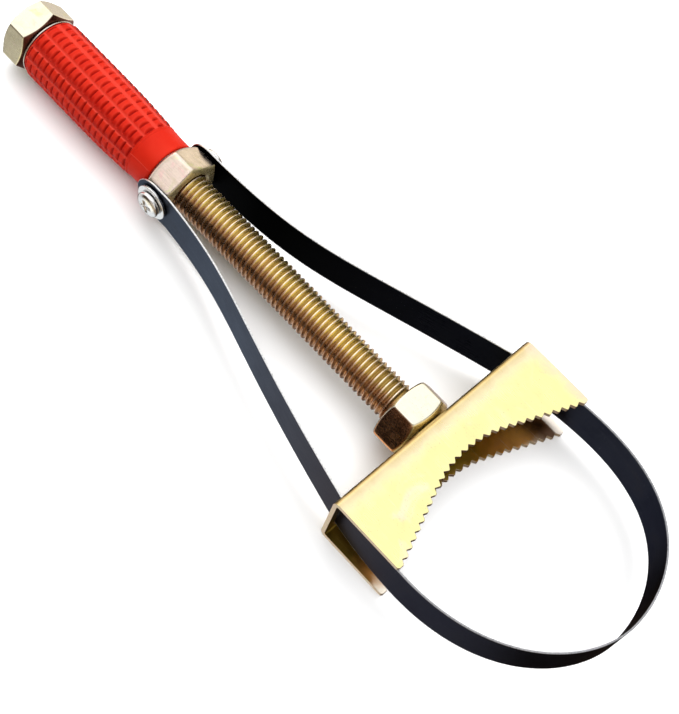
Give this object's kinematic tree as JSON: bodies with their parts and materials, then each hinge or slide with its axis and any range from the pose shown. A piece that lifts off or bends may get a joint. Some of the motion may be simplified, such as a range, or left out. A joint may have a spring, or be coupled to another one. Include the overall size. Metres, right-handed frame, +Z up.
{
  "type": "strap wrench",
  "caption": "Adjustable steel-band strap wrench: a hexagon-headed screw spindle with a grip tightens a band loop against a toothed jaw.",
  "frame": {"origin": "centre of the spindle's rear end face, in the middle of the drive hexagon", "axes": "+X along the spindle from the handle to the band loop, +Y across the jaw, +Z up through the jaw's top plate"},
  "size_m": [0.2777, 0.0859, 0.0254],
  "materials": {
    "jaw_zinc": "yellow-passivated zinc on pressed sheet steel, satin",
    "rod_zinc": "dark yellow-passivated zinc on a rolled thread",
    "nut_zinc": "yellow-passivated zinc, bright",
    "collar_zinc": "yellow-passivated zinc over a brushed face",
    "washer_zinc": "bright zinc",
    "spring_steel": "phosphated spring steel",
    "tube_steel": "drawn steel",
    "grip_plastic": "semi-matte moulded red plastic with raised blocks",
    "band_steel": "blued spring-steel band with bright cut edges",
    "screw_zinc": "bright blue-white zinc"
  },
  "bodies": {
    "jaw": {"jaw_yoke": "jaw_zinc"},
    "spindle": {"threaded_rod": "rod_zinc", "shoulder_nut": "nut_zinc", "drive_hex_nut": "nut_zinc", "thrust_washer": "washer_zinc", "retaining_ring": "spring_steel", "grip_end_washer": "washer_zinc", "handle_tube": "tube_steel", "grip_sleeve": "grip_plastic"},
    "collar": {"collar_nut": "collar_zinc", "strap_band": "band_steel", "strap_washer_left": "screw_zinc", "strap_washer_right": "screw_zinc", "strap_screw_left": "screw_zinc", "strap_screw_right": "screw_zinc"}
  },
  "joints": [
    {"name": "spindle_turn", "type": "hinge", "parent": "jaw", "child": "spindle", "pos_m": [0.1935, 0, 0], "axis": [1, 0, 0], "range_deg": [-10800, 0]},
    {"name": "collar_slide", "type": "slide", "parent": "jaw", "child": "collar", "axis": [1, 0, 0], "range_m": [0, 0.06], "deforming": ["strap_band"]}
  ],
  "couplings": [
    {"joint": "collar_slide", "follows": "spindle_turn", "m_per_rad": -0.00031831}
  ]
}
